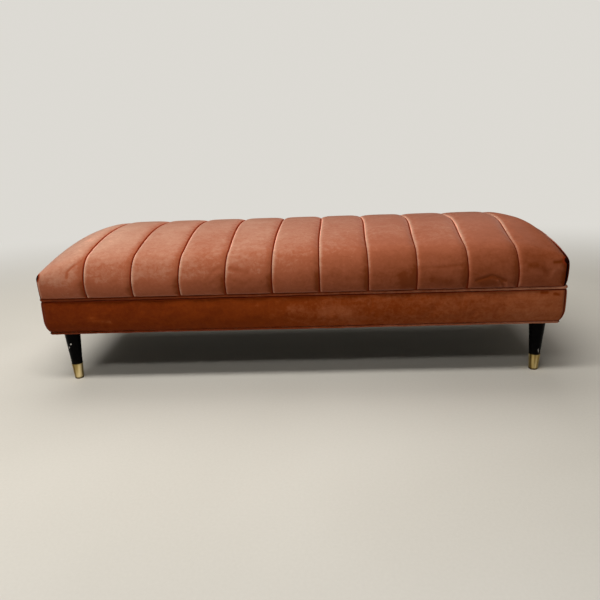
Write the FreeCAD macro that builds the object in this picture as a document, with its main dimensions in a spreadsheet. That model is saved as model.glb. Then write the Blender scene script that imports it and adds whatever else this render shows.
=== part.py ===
import FreeCAD, Part
import math
import os
import Sketcher

# Upholstered bench: a channelled seat on a padded box frame with four turned legs.
# Millimetres. X runs along the bench, Y to the back and Z up, from the floor under its middle.

doc = FreeCAD.newDocument("Bench")

SIZES = {
    # Whole bench
    "body_length": 1412,
    "body_depth": 520,
    "leg_height": 150,
    "band_height": 103,
    # Form of the seat along its seams, above the upper welt
    "crown_height": 136,
    "crown_radius": 1060,
    "shoulder_radius": 70,
    "face_bulge": 11,
    # Form of the seat at its two sewn end edges
    "end_crown_height": 99,
    "end_crown_radius": 1700,
    "end_shoulder_radius": 9,
    "end_face_bulge": 4,
    "end_panel_thickness": 8,
    "end_panel_bulge": 7,
    # Channels of the seat
    "channel_rise": 8,
    "cushion_padding": 22,
    # Padded band round the frame
    "face_padding": 16,
    "frame_corner": 2,
    "band_turn_height": 33,
    "band_turn_inset": 11,
    # Piping and dust cover
    "upper_welt_diameter": 7,
    "lower_welt_diameter": 6,
    "welt_flange_thickness": 1.2,
    "lower_flange_width": 18,
    "dust_cover_thickness": 0.8,
    "dust_cover_inset": 20,
    # Timber frame and deck
    "rail_thickness": 20,
    "deck_thickness": 12,
    "cross_rail_count": 3,
    "cross_rail_height": 60,
    "block_side": 105,
    "block_nose": 40,
    "block_height": 40,
    # Legs
    "leg_inset": 53,
    "leg_top_diameter": 45,
    "leg_foot_diameter": 22.4,
    "leg_edge": 1,
    "ferrule_height": 47,
    "ferrule_wall": 0.8,
    "ferrule_floor": 1.5,
    "ferrule_edge": 0.6,
    # Leg bolts and tee nuts
    "bolt_diameter": 8,
    "bolt_depth": 35,
    "bolt_end": 3,
    "tee_barrel_diameter": 10.4,
    "tee_barrel_length": 11,
    "tee_flange_diameter": 22,
    "tee_flange_thickness": 1.5,
    # Wood screws
    "frame_screw_diameter": 5,
    "frame_screw_length": 60,
    "frame_screw_margin": 24,
    "deck_screw_diameter": 4,
    "deck_screw_length": 35,
    "screw_head_diameter": 9,
    "screw_head_height": 3,
    # Clearances and the overrun of cuts
    "fit_gap": 0.15,
    "soft_gap": 0.3,
    "overrun": 2,
}

PLACES = {
    # Half sizes of the upholstered body and of the timber frame inside it
    "half_length": "=Sizes.body_length / 2",
    "half_depth": "=Sizes.body_depth / 2",
    "frame_half_length": "=half_length - Sizes.face_padding",
    "frame_half_depth": "=half_depth - Sizes.face_padding",
    # Distances out from the middle of a corner arc: the band's face, and the frame with its clearance
    "corner_radius": "=Sizes.face_padding + Sizes.frame_corner",
    "frame_reach": "=Sizes.frame_corner + Sizes.soft_gap",
    # Levels, from the floor up
    "flange_underside": "=Sizes.leg_height + Sizes.dust_cover_thickness",
    "frame_underside": "=flange_underside + Sizes.welt_flange_thickness",
    "lower_welt_line": "=flange_underside + Sizes.lower_welt_diameter / 2",
    "band_base": "=flange_underside + Sizes.lower_welt_diameter + Sizes.soft_gap",
    "welt_line": "=Sizes.leg_height + Sizes.band_height",
    "band_top": "=welt_line - Sizes.upper_welt_diameter / 2 - Sizes.soft_gap",
    "deck_top": "=welt_line - Sizes.welt_flange_thickness / 2",
    "frame_top": "=deck_top - Sizes.deck_thickness",
    "rail_height": "=frame_top - frame_underside",
    "cushion_base": "=welt_line + Sizes.upper_welt_diameter / 2 + Sizes.soft_gap",
    # Lengths and places along the frame
    "short_rail_length": "=2 * (frame_half_depth - Sizes.rail_thickness)",
    "end_rail_place": "=frame_half_length - Sizes.rail_thickness / 2",
    "long_rail_place": "=frame_half_depth - Sizes.rail_thickness / 2",
    "bay": "=2 * frame_half_length / (Sizes.cross_rail_count + 1)",
    "pilot_depth": "=Sizes.frame_screw_length - Sizes.rail_thickness",
    # Legs
    "leg_place_x": "=half_length - Sizes.leg_inset",
    "leg_place_y": "=half_depth - Sizes.leg_inset",
    "leg_slope": "=(Sizes.leg_top_diameter - Sizes.leg_foot_diameter) / 2 / Sizes.leg_height",
    "foot_radius": "=Sizes.leg_foot_diameter / 2",
    "ferrule_reach": "=Sizes.fit_gap + Sizes.ferrule_wall",
    "bore_radius": "=Sizes.bolt_diameter / 2 + Sizes.fit_gap",
    "block_top": "=flange_underside + Sizes.block_height",
    "nut_top": "=block_top + Sizes.tee_flange_thickness",
}

# How far each seam of the seat strays from equal spacing, as a share of a channel's width
SEAM_STRAYS = (0.051, 0.041, 0.03, -0.004, -0.037, -0.056, -0.051, -0.069, -0.041, -0.012)
CHANNEL_COUNT = len(SEAM_STRAYS) + 1
# Where the fullness of a channel is taken, as shares of its width and of its rise
CHANNEL_SHARES = ((0, 0), (0.06, 0.5), (0.2, 0.88), (0.5, 1), (0.8, 0.88), (0.94, 0.5), (1, 0))
# How the end channels fall from their seam to the end edge, as a power of the share of their width
END_FALL_POWER = 1.47
# The rise of a channel against the bulge of its front face
FACE_RISE_SHARE = 0.8
# The pillow of an end panel, as shares of its bulge and of the shoulder radius drawn in from its outline
PILLOW_SHARES = ((0, 0), (0.6, 0.5), (1, 1.5))
# Where the two screws into a cross rail stand, as shares of its height
CROSS_SCREW_SHARES = (0.25, 0.75)

# The four corners, each with its side and its face, and the four sides, by quarter turns from the front
CORNERS = {
    "front_left": ("-1", "-1"),
    "front_right": ("1", "-1"),
    "rear_left": ("-1", "1"),
    "rear_right": ("1", "1"),
}
SIDES = ("front", "right_end", "rear", "left_end")


def make_sheet(label, rows):
    """A sheet with one named value on each row."""
    sheet = doc.addObject("Spreadsheet::Sheet", label)
    for row, (alias, value) in enumerate(rows.items(), start=1):
        sheet.set(f"A{row}", alias)
        sheet.set(f"B{row}", str(value))
        sheet.setAlias(f"B{row}", alias)
    doc.recompute()
    return sheet


sizes = make_sheet("Sizes", SIZES)
places = make_sheet("Places", PLACES)
parts = []


def number(expression):
    """The value of an expression on the sheets."""
    return float(sizes.evalExpression(expression))


def keep(item, label):
    """Name a sub-part and list it for export."""
    item.Label = label
    parts.append(item)


# Sketches and features shared by the rigid pieces


def new_body(name):
    return doc.addObject("PartDesign::Body", name)


def new_sketch(body, name, role, level="0"):
    """A sketch on one of the body's own origin planes, or at a level above it."""
    sketch = body.newObject("Sketcher::SketchObject", name)
    plane = next(item for item in body.Origin.OriginFeatures if item.Role == role)
    sketch.AttachmentSupport = [(plane, "")]
    sketch.MapMode = "FlatFace"
    sketch.setExpression("AttachmentOffset.Base.z", level)
    return sketch


def bind(sketch, kind, *target, value):
    """Add a dimension to a sketch and bind it to an expression."""
    row = sketch.addConstraint(Sketcher.Constraint(kind, *target, number(value)))
    sketch.setExpression(f"Constraints[{row}]", value)


def draw_outline(sketch, corners):
    """A closed outline of straight edges through corners given as pairs of expressions."""
    points = [FreeCAD.Vector(number(across), number(along), 0) for across, along in corners]
    ends = points[1:] + points[:1]
    edges = [sketch.addGeometry(Part.LineSegment(start, end), False) for start, end in zip(points, ends)]
    for edge, following in zip(edges, edges[1:] + edges[:1]):
        sketch.addConstraint(Sketcher.Constraint("Coincident", edge, 2, following, 1))
    for edge, (across, along) in zip(edges, corners):
        bind(sketch, "DistanceX", edge, 1, value=across)
        bind(sketch, "DistanceY", edge, 1, value=along)


def draw_circles(sketch, centres, diameter):
    for across, along in centres:
        middle = FreeCAD.Vector(number(across), number(along), 0)
        circle = sketch.addGeometry(Part.Circle(middle, FreeCAD.Vector(0, 0, 1), number(diameter) / 2), False)
        bind(sketch, "Diameter", circle, value=diameter)
        bind(sketch, "DistanceX", circle, 3, value=across)
        bind(sketch, "DistanceY", circle, 3, value=along)


def pad(body, sketch, length):
    feature = body.newObject("PartDesign::Pad", f"{body.Name}_pad")
    feature.Profile = sketch
    feature.setExpression("Length", length)
    doc.recompute()


def turn(body, outline):
    """A solid of revolution about the body's vertical axis."""
    sketch = new_sketch(body, f"{body.Name}_profile", "XZ_Plane")
    draw_outline(sketch, outline)
    feature = body.newObject("PartDesign::Revolution", f"{body.Name}_turning")
    feature.Profile = sketch
    feature.ReferenceAxis = (sketch, ["V_Axis"])
    doc.recompute()


def drill(body, role, centres, diameter, depth, level="0", onward=False):
    """Holes of one diameter and depth, sunk from a level of an origin plane."""
    before = body.Shape.Volume
    sketch = new_sketch(body, f"{body.Name}_holes", role, level)
    draw_circles(sketch, centres, diameter)
    feature = body.newObject("PartDesign::Pocket", f"{body.Name}_drilling")
    feature.Profile = sketch
    feature.setExpression("Length", depth)
    feature.Reversed = onward
    doc.recompute()
    if not body.Shape.Volume < before:
        raise RuntimeError(f"the holes in {body.Name} cut nothing")


def place(item, across="0", along="0", up="0", turned=0):
    """Stand a sub-part at expressions of the sheets, turned about the vertical by degrees."""
    item.Placement = FreeCAD.Placement(FreeCAD.Vector(), FreeCAD.Rotation(FreeCAD.Vector(0, 0, 1), turned))
    for axis, expression in zip("xyz", (across, along, up)):
        item.setExpression(f"Placement.Base.{axis}", expression)


# Places of the screws in the frame, and of the legs

cross_steps = range(1, int(sizes.cross_rail_count) + 1)
bay_steps = range(int(sizes.cross_rail_count) + 1)
cross_rail_places = [f"({step} * Places.bay - Places.frame_half_length)" for step in cross_steps]
bay_places = [f"({step} * Places.bay + Places.bay / 2 - Places.frame_half_length)" for step in bay_steps]
joint_places = ["(-Places.end_rail_place)", *cross_rail_places, "(Places.end_rail_place)"]
joint_levels = ["Sizes.frame_screw_margin", "(Places.rail_height - Sizes.frame_screw_margin)"]
cross_levels = [f"({share} * Sizes.cross_rail_height)" for share in CROSS_SCREW_SHARES]
SHANK_HOLE = "Sizes.frame_screw_diameter + 2 * Sizes.fit_gap"
HEAD_HOLE = "Sizes.screw_head_diameter + 2 * Sizes.fit_gap"
HEAD_DEPTH = "Sizes.screw_head_height + Sizes.fit_gap"
DECK_HOLE = "Sizes.deck_screw_diameter + 2 * Sizes.fit_gap"
DECK_PILOT = "Sizes.deck_screw_length - Sizes.deck_thickness + Sizes.fit_gap"
CROSS_BASE = "(Places.frame_top - Sizes.cross_rail_height)"


def frame_screw_spots():
    """Where a screw goes through a long rail, as a place along it and a height above its underside."""
    ends = [(along, level) for along in (joint_places[0], joint_places[-1]) for level in joint_levels]
    cross_foot = f"({CROSS_BASE} - Places.frame_underside)"
    crosses = [(along, f"({cross_foot} + {level})") for along in cross_rail_places for level in cross_levels]
    return ends + crosses


def leg_spot(side, face):
    """Where a leg stands, as its places along the bench and to the back."""
    return f"{side} * Places.leg_place_x", f"{face} * Places.leg_place_y"


# Timber frame


def long_rail(label, side, turned):
    """Front or rear rail: it runs the whole length, with its outer corners eased under the cover."""
    body = new_body(label)
    eased = "Places.frame_half_length - Sizes.frame_corner"
    outer = "Sizes.rail_thickness / 2"
    sketch = new_sketch(body, f"{label}_plan", "XY_Plane")
    draw_outline(sketch, [
        (f"-({eased})", f"-({outer})"),
        (eased, f"-({outer})"),
        ("Places.frame_half_length", f"-({outer}) + Sizes.frame_corner"),
        ("Places.frame_half_length", outer),
        ("-Places.frame_half_length", outer),
        ("-Places.frame_half_length", f"-({outer}) + Sizes.frame_corner"),
    ])
    pad(body, sketch, "Places.rail_height")
    spots = frame_screw_spots()
    drill(body, "XZ_Plane", spots, SHANK_HOLE, "Sizes.rail_thickness + 2 * Sizes.overrun",
          f"{outer} + Sizes.overrun")
    drill(body, "XZ_Plane", spots, HEAD_HOLE, f"{HEAD_DEPTH} + Sizes.overrun", f"{outer} + Sizes.overrun")
    deck_pilots = [(along, "0") for along in bay_places]
    drill(body, "XY_Plane", deck_pilots, DECK_HOLE, DECK_PILOT, "Places.rail_height")
    place(body, along=f"{side} * Places.long_rail_place", up="Places.frame_underside", turned=turned)
    keep(body, label)


def short_rail(label, across, height, base, levels):
    """A rail between the two long ones, drilled in both ends and on top."""
    body = new_body(label)
    half = "Sizes.rail_thickness / 2"
    reach = "Places.short_rail_length / 2"
    sketch = new_sketch(body, f"{label}_plan", "XY_Plane")
    draw_outline(sketch, [(f"-{half}", f"-{reach}"), (half, f"-{reach}"), (half, reach), (f"-{half}", reach)])
    pad(body, sketch, height)
    ends = [("0", level) for level in levels]
    depth = "Places.pilot_depth + Sizes.fit_gap + Sizes.overrun"
    drill(body, "XZ_Plane", ends, SHANK_HOLE, depth, f"{reach} + Sizes.overrun")
    drill(body, "XZ_Plane", ends, SHANK_HOLE, depth, f"-{reach} - Sizes.overrun", True)
    drill(body, "XY_Plane", [("0", "0")], DECK_HOLE, DECK_PILOT, height)
    place(body, across=across, up=base)
    keep(body, label)


def corner_block(corner, side, face):
    """Glued into a corner of the frame, with its inner edge cut off, to take the leg bolt."""
    label = f"{corner}_corner_block"
    body = new_body(label)
    sketch = new_sketch(body, f"{label}_plan", "XY_Plane")
    draw_outline(sketch, [
        ("0", "0"),
        ("-Sizes.block_side", "0"),
        ("-Sizes.block_side", "-Sizes.block_nose"),
        ("-Sizes.block_nose", "-Sizes.block_side"),
        ("0", "-Sizes.block_side"),
    ])
    pad(body, sketch, "Sizes.block_height")
    inset = "Sizes.face_padding + Sizes.rail_thickness - Sizes.leg_inset"
    drill(body, "XY_Plane", [(inset, inset)], "Sizes.tee_barrel_diameter + 2 * Sizes.fit_gap",
          "Sizes.block_height + 2 * Sizes.overrun", "Sizes.block_height + Sizes.overrun")
    turned = math.degrees(math.atan2(float(face), float(side)) - math.pi / 4)
    place(body, f"{side} * (Places.frame_half_length - Sizes.rail_thickness)",
          f"{face} * (Places.frame_half_depth - Sizes.rail_thickness)", "Places.flange_underside", turned)
    keep(body, label)


def deck_screw_spots():
    """Deck screws go into the long rails between the joints, and into the middle of each short rail."""
    long_rails = [(along, f"{side} * Places.long_rail_place") for along in bay_places for side in ("-1", "1")]
    return long_rails + [(along, "0") for along in joint_places]


def seat_deck():
    """Plywood board on top of the rails, with its corners eased like theirs."""
    body = new_body("seat_deck")
    length = "Places.frame_half_length"
    depth = "Places.frame_half_depth"
    short = f"({length} - Sizes.frame_corner)"
    narrow = f"({depth} - Sizes.frame_corner)"
    sketch = new_sketch(body, "seat_deck_plan", "XY_Plane")
    draw_outline(sketch, [
        (f"-{short}", f"-{depth}"), (short, f"-{depth}"), (length, f"-{narrow}"), (length, narrow),
        (short, depth), (f"-{short}", depth), (f"-{length}", narrow), (f"-{length}", f"-{narrow}"),
    ])
    pad(body, sketch, "Sizes.deck_thickness")
    spots = deck_screw_spots()
    above = "Sizes.deck_thickness + Sizes.overrun"
    drill(body, "XY_Plane", spots, DECK_HOLE, f"{above} + Sizes.overrun", above)
    drill(body, "XY_Plane", spots, HEAD_HOLE, f"{HEAD_DEPTH} + Sizes.overrun", above)
    place(body, up="Places.frame_top")
    keep(body, "seat_deck")


def dust_cover():
    """Thin cloth stapled under the frame, pierced where the leg bolts pass."""
    body = new_body("dust_cover")
    length = "(Places.half_length - Sizes.dust_cover_inset)"
    depth = "(Places.half_depth - Sizes.dust_cover_inset)"
    sketch = new_sketch(body, "dust_cover_plan", "XY_Plane")
    draw_outline(sketch, [
        (f"-{length}", f"-{depth}"), (length, f"-{depth}"), (length, depth), (f"-{length}", depth),
    ])
    pad(body, sketch, "Sizes.dust_cover_thickness")
    bolts = [leg_spot(side, face) for side, face in CORNERS.values()]
    drill(body, "XY_Plane", bolts, "2 * Places.bore_radius", "Sizes.dust_cover_thickness + 2 * Sizes.overrun",
          "Sizes.dust_cover_thickness + Sizes.overrun")
    place(body, up="Sizes.leg_height")
    keep(body, "dust_cover")


# Legs and their hardware

def leg_radius(height, reach="0"):
    """Radius of the tapered leg at a height, with a reach added."""
    return f"Places.foot_radius + Places.leg_slope * ({height}) + {reach}"


def leg(corner, side, face):
    """Turned and lacquered, tapered to the floor and bored from above for its bolt."""
    body = new_body(f"{corner}_leg")
    tip = "Sizes.ferrule_floor + Sizes.fit_gap"
    bore_floor = "Sizes.leg_height - Sizes.bolt_depth - Sizes.fit_gap"
    turn(body, [
        ("0", tip),
        (leg_radius(tip), tip),
        (leg_radius("Sizes.leg_height - Sizes.leg_edge"), "Sizes.leg_height - Sizes.leg_edge"),
        ("Sizes.leg_top_diameter / 2 - Sizes.leg_edge", "Sizes.leg_height"),
        ("Places.bore_radius", "Sizes.leg_height"),
        ("Places.bore_radius", bore_floor),
        ("0", bore_floor),
    ])
    place(body, *leg_spot(side, face))
    keep(body, f"{corner}_leg")


def ferrule(corner, side, face):
    """Spun brass cup over the foot of the leg, with the same taper."""
    body = new_body(f"{corner}_ferrule")
    turn(body, [
        ("0", "0"),
        (leg_radius("0", "Places.ferrule_reach - Sizes.ferrule_edge"), "0"),
        (leg_radius("Sizes.ferrule_edge", "Places.ferrule_reach"), "Sizes.ferrule_edge"),
        (leg_radius("Sizes.ferrule_height", "Places.ferrule_reach"), "Sizes.ferrule_height"),
        (leg_radius("Sizes.ferrule_height", "Sizes.fit_gap"), "Sizes.ferrule_height"),
        (leg_radius("Sizes.ferrule_floor", "Sizes.fit_gap"), "Sizes.ferrule_floor"),
        ("0", "Sizes.ferrule_floor"),
    ])
    place(body, *leg_spot(side, face))
    keep(body, f"{corner}_ferrule")


def leg_bolt(corner, side, face):
    """Hanger bolt, from its bore in the leg to just above the tee nut."""
    body = new_body(f"{corner}_leg_bolt")
    half = "Sizes.bolt_diameter / 2"
    foot = "Sizes.leg_height - Sizes.bolt_depth"
    head = "Places.nut_top + Sizes.bolt_end"
    turn(body, [
        ("0", foot),
        (f"{half} - Sizes.leg_edge", foot),
        (half, f"{foot} + Sizes.leg_edge"),
        (half, f"{head} - Sizes.leg_edge"),
        (f"{half} - Sizes.leg_edge", head),
        ("0", head),
    ])
    place(body, *leg_spot(side, face))
    keep(body, f"{corner}_leg_bolt")


def tee_nut():
    """Flanged nut: its barrel hangs down into the block from its flange on top."""
    body = new_body("tee_nut")
    barrel = "Sizes.tee_barrel_diameter / 2"
    flange = "Sizes.tee_flange_diameter / 2"
    turn(body, [
        ("Places.bore_radius", "-Sizes.tee_barrel_length"),
        (barrel, "-Sizes.tee_barrel_length"),
        (barrel, "0"),
        (flange, "0"),
        (flange, "Sizes.tee_flange_thickness"),
        ("Places.bore_radius", "Sizes.tee_flange_thickness"),
    ])
    return body


def wood_screw(name, diameter, length):
    """Pan-headed screw hanging down from the top of its head."""
    body = new_body(name)
    head = "Sizes.screw_head_diameter / 2"
    shank = f"{diameter} / 2"
    turn(body, [
        ("0", "0"),
        (head, "0"),
        (head, "-Sizes.screw_head_height"),
        (shank, "-Sizes.screw_head_height"),
        (shank, f"-({length})"),
        ("0", f"-({length})"),
    ])
    return body


def group(label, master, spots):
    """Copies of one piece of hardware as a group of separate solids, at places and turns."""
    copies = []
    for position, rotation in spots:
        copy = master.Shape.copy()
        copy.Placement = FreeCAD.Placement(position, rotation)
        copies.append(copy)
    item = doc.addObject("Part::Feature", label)
    item.Shape = Part.makeCompound(copies)
    item.Placement = FreeCAD.Placement()
    keep(item, label)


def hardware():
    """Tee nuts on the corner blocks, screws through the long rails and screws down through the deck."""
    upright = FreeCAD.Rotation()
    nut_spots = []
    for side, face in CORNERS.values():
        across, along = [number(spot) for spot in leg_spot(side, face)]
        nut_spots.append((FreeCAD.Vector(across, along, places.block_top), upright))
    group("tee_nuts", tee_nut(), nut_spots)

    frame_spots = []
    sink = places.frame_half_depth - sizes.fit_gap
    for face in (-1, 1):
        inward = FreeCAD.Rotation(FreeCAD.Vector(0, 0, -1), FreeCAD.Vector(0, -face, 0))
        for along, level in frame_screw_spots():
            height = places.frame_underside + number(level)
            frame_spots.append((FreeCAD.Vector(number(along), face * sink, height), inward))
    frame_screw = wood_screw("frame_screw", "Sizes.frame_screw_diameter", "Sizes.frame_screw_length")
    group("frame_screws", frame_screw, frame_spots)

    deck_spots = []
    for across, along in deck_screw_spots():
        spot = FreeCAD.Vector(number(across), number(along), places.deck_top - sizes.fit_gap)
        deck_spots.append((spot, upright))
    deck_screw = wood_screw("deck_screw", "Sizes.deck_screw_diameter", "Sizes.deck_screw_length")
    group("deck_screws", deck_screw, deck_spots)


# Soft pieces, lofted or carried round from sections


def soft(label, shape):
    """A sub-part whose form comes from sections."""
    item = doc.addObject("Part::Feature", label)
    item.Shape = shape
    item.Placement = FreeCAD.Placement()
    keep(item, label)


class Section:
    """Cross-section of the seat: a crown arc, two shoulder arcs and two faces that draw in to the welt."""

    def __init__(self, half_width, base, top, crown_radius, shoulder_radius, bulge):
        self.half_width = half_width
        self.base = base
        self.top = top
        self.crown_radius = crown_radius
        self.shoulder_radius = shoulder_radius
        self.bulge = bulge

    def grown(self, amount):
        """The same section with its outside moved outwards all round."""
        return Section(self.half_width + amount, self.base, self.top + amount, self.crown_radius + amount,
                       self.shoulder_radius + amount, self.bulge)

    def risen(self, rise):
        """The section over the fullness of a channel."""
        return Section(self.half_width, self.base, self.top + rise, self.crown_radius, self.shoulder_radius,
                       self.bulge + FACE_RISE_SHARE * rise)

    def towards(self, other, share):
        """The section at a share of the way to another one."""
        mixed = [a + (b - a) * share for a, b in zip(vars(self).values(), vars(other).values())]
        return Section(*mixed)

    def wire(self, across):
        """The outline at a place along the bench, always as one line and five arcs."""
        width = self.half_width + self.bulge
        crown_centre = self.top - self.crown_radius
        inner = width - self.shoulder_radius
        reach = self.crown_radius - self.shoulder_radius
        shoulder_level = crown_centre + math.sqrt(reach ** 2 - inner ** 2)
        face_radius = ((shoulder_level - self.base) ** 2 + self.bulge ** 2) / (2 * self.bulge)
        lean = math.asin(inner / reach)
        bend = math.asin((shoulder_level - self.base) / face_radius)

        def arc(side, centre, level, radius, angles):
            spots = [FreeCAD.Vector(across, side * (centre + radius * math.cos(angle)),
                                    level + radius * math.sin(angle)) for angle in angles]
            return Part.Arc(*spots).toShape()

        upright = math.pi / 2
        face_angles = (-bend, -bend / 2, 0)
        shoulder_angles = (0, (upright - lean) / 2, upright - lean)
        crown_angles = (upright - lean, upright, upright + lean)
        right = [arc(1, width - face_radius, shoulder_level, face_radius, face_angles),
                 arc(1, inner, shoulder_level, self.shoulder_radius, shoulder_angles)]
        crown = arc(1, 0, crown_centre, self.crown_radius, crown_angles)
        left = [arc(-1, inner, shoulder_level, self.shoulder_radius, shoulder_angles[::-1]),
                arc(-1, width - face_radius, shoulder_level, face_radius, face_angles[::-1])]
        foot = Part.LineSegment(FreeCAD.Vector(across, -self.half_width, self.base),
                                FreeCAD.Vector(across, self.half_width, self.base)).toShape()
        return Part.Wire([foot, *right, crown, *left])


def seam_section():
    """The seat along one of its seams."""
    return Section(places.half_depth, places.cushion_base, places.welt_line + sizes.crown_height,
                   sizes.crown_radius, sizes.shoulder_radius, sizes.face_bulge)


def end_section():
    """The seat at its sewn end edge, lower and with pointed corners."""
    return Section(places.half_depth, places.cushion_base, places.welt_line + sizes.end_crown_height,
                   sizes.end_crown_radius, sizes.end_shoulder_radius, sizes.end_face_bulge)


def core_section(section):
    """The foam inside a section, with the padding taken off."""
    shoulder = max(section.shoulder_radius - sizes.cushion_padding, sizes.end_shoulder_radius)
    return Section(section.half_width - sizes.cushion_padding - sizes.soft_gap, places.deck_top,
                   section.top - sizes.cushion_padding - sizes.soft_gap, section.crown_radius, shoulder,
                   section.bulge)


def seam_place(index):
    """Where a seam of the seat stands along the bench, counted from the bench's left end."""
    inside = 0 < index < CHANNEL_COUNT
    stray = SEAM_STRAYS[index - 1] if inside else 0
    return (index + stray) * sizes.body_length / CHANNEL_COUNT - places.half_length


def core_shape(clearance, overrun):
    """The foam block: level between the outer seams, falling to both ends, or the hollow that clears it."""
    end_place = places.half_length - sizes.cushion_padding - sizes.soft_gap + clearance
    seam = core_section(seam_section()).grown(clearance)
    end = core_section(end_section()).grown(clearance)
    for section in (seam, end):
        section.base -= overrun
    level = [seam.wire(seam_place(index)) for index in (1, CHANNEL_COUNT - 1)]
    return Part.makeLoft([end.wire(-end_place), *level, end.wire(end_place)], True, True)


def seat_foam():
    soft("seat_foam", core_shape(0, 0))


def channel_pad(index, hollow):
    """One stuffed channel over the foam: it swells between its seams and draws in at the welt."""
    edge = places.half_length - sizes.end_panel_thickness
    left = max(seam_place(index), -edge)
    right = min(seam_place(index + 1), edge)
    stations = []
    for across_share, rise_share in CHANNEL_SHARES:
        fallen = 0
        if index == 0:
            fallen = (1 - across_share) ** END_FALL_POWER
        if index == CHANNEL_COUNT - 1:
            fallen = across_share ** END_FALL_POWER
        section = seam_section().towards(end_section(), fallen).risen(rise_share * sizes.channel_rise)
        stations.append(section.wire(left + across_share * (right - left)))
    swell = Part.makeLoft(stations, True, False)
    soft(f"channel_pad_{index + 1:02d}", swell.cut(hollow))


def end_panel(label, side):
    """The plain end of the seat: its sewn edge, and a slight pillow out beyond it."""
    outline = end_section()
    outer = side * places.half_length
    stations = [outline.wire(side * (places.half_length - sizes.end_panel_thickness))]
    for bulge_share, inset_share in PILLOW_SHARES:
        inset = inset_share * sizes.end_shoulder_radius
        drawn = outline.grown(-inset)
        drawn.shoulder_radius = outline.shoulder_radius
        drawn.base = outline.base + inset
        stations.append(drawn.wire(outer + side * bulge_share * sizes.end_panel_bulge))
    soft(label, Part.makeLoft(stations, True, True))


def carry_round(profile, sides):
    """Carry a profile along sides of the bench and half way round the corners at their ends.

    The profile stands in the plane across the front, at its distances out from the middle of a
    corner arc, and each side is named by its quarter turns from the front."""
    half_side_x = places.half_length - places.corner_radius
    half_side_y = places.half_depth - places.corner_radius
    quarter = math.degrees(math.pi / 2)
    up = FreeCAD.Vector(0, 0, 1)
    shapes = []
    for side in sides:
        run, out = (half_side_x, half_side_y) if side % 2 == 0 else (half_side_y, half_side_x)
        near = FreeCAD.Vector(-run, -out, 0)
        far = FreeCAD.Vector(run, -out, 0)
        straight = profile.translated(near).extrude(far - near)
        near_corner = profile.translated(near).revolve(near, -up, quarter / 2)
        far_corner = profile.translated(far).revolve(far, up, quarter / 2)
        shape = straight.fuse([near_corner, far_corner])
        shape.rotate(FreeCAD.Vector(), up, quarter * side)
        shapes.append(shape)
    whole = shapes[0].fuse(shapes[1:]) if len(shapes) > 1 else shapes[0]
    return whole.removeSplitter()


def corner_point(out, level):
    """A point of a carried profile, at a distance out from the middle of a corner arc."""
    return FreeCAD.Vector(0, -out, level)


def band_profile():
    """Section of the padded band: upright, then turning in to the lower welt along an arc."""
    outer = places.corner_radius
    inner = places.frame_reach
    turn_level = places.band_base + sizes.band_turn_height
    foot = outer - sizes.band_turn_inset
    radius = (sizes.band_turn_height ** 2 + sizes.band_turn_inset ** 2) / (2 * sizes.band_turn_inset)
    half_bend = math.asin(sizes.band_turn_height / radius) / 2
    drawn_in = radius - radius * math.cos(half_bend)
    middle = corner_point(outer - drawn_in, turn_level - radius * math.sin(half_bend))
    corners = [corner_point(inner, places.band_base), corner_point(inner, places.band_top),
               corner_point(outer, places.band_top), corner_point(outer, turn_level),
               corner_point(foot, places.band_base)]
    edges = [Part.LineSegment(start, end).toShape() for start, end in zip(corners[:3], corners[1:4])]
    edges.append(Part.Arc(corners[3], middle, corners[4]).toShape())
    edges.append(Part.LineSegment(corners[4], corners[0]).toShape())
    return Part.Face(Part.Wire(edges))


def band_cover(label, side):
    soft(label, carry_round(band_profile(), [side]))


def plate(out, base):
    """A flange-thick plate over the plan, its edge at a distance out from the corner arcs' middles."""
    length = places.half_length - places.corner_radius + out
    depth = places.half_depth - places.corner_radius + out
    low = FreeCAD.Vector(-length, -depth, base)
    box = Part.makeBox(2 * length, 2 * depth, sizes.welt_flange_thickness, low)
    if out <= 0:
        return box
    upright = [edge for edge in box.Edges if edge.BoundBox.XLength + edge.BoundBox.YLength < sizes.soft_gap]
    return box.makeFillet(out, upright)


def welt(label, out, level, radius, flange_width, flange_base):
    """Piping all round: a cord, and the flange by which it is stapled."""
    circle = Part.Circle(corner_point(out, level), FreeCAD.Vector(1, 0, 0), radius)
    cord = carry_round(Part.Face(Part.Wire(circle.toShape())), range(len(SIDES)))
    flange = plate(out, flange_base).cut(plate(out - flange_width, flange_base))
    soft(label, cord.fuse(flange).removeSplitter())


def welts():
    """Upper piping on the seam under the seat, lower piping on the band's bottom edge."""
    upper_radius = sizes.upper_welt_diameter / 2
    welt("upper_welt", places.corner_radius, places.welt_line, upper_radius, sizes.cushion_padding,
         places.deck_top)
    lower_radius = sizes.lower_welt_diameter / 2
    welt("lower_welt", places.frame_reach + lower_radius, places.lower_welt_line, lower_radius,
         sizes.lower_flange_width, places.flange_underside)


# Build the bench

for corner, (side, face) in CORNERS.items():
    leg(corner, side, face)
    ferrule(corner, side, face)
    leg_bolt(corner, side, face)
    corner_block(corner, side, face)
long_rail("front_rail", "-1", 0)
long_rail("rear_rail", "1", 180)
short_rail("left_end_rail", joint_places[0], "Places.rail_height", "Places.frame_underside", joint_levels)
short_rail("right_end_rail", joint_places[-1], "Places.rail_height", "Places.frame_underside", joint_levels)
for step, across in enumerate(cross_rail_places, start=1):
    short_rail(f"cross_rail_{step}", across, "Sizes.cross_rail_height", CROSS_BASE, cross_levels)
seat_deck()
dust_cover()
hardware()
seat_foam()
core_hollow = core_shape(sizes.soft_gap, sizes.overrun)
for channel in range(CHANNEL_COUNT):
    channel_pad(channel, core_hollow)
end_panel("left_end_panel", -1)
end_panel("right_end_panel", 1)
for side, name in enumerate(SIDES):
    band_cover(f"{name}_band_cover", side)
welts()
doc.recompute()

for item in doc.Objects:
    if {"Invalid", "Error"} & set(item.State):
        raise RuntimeError(f"{item.Name} failed: {item.State}")

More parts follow.
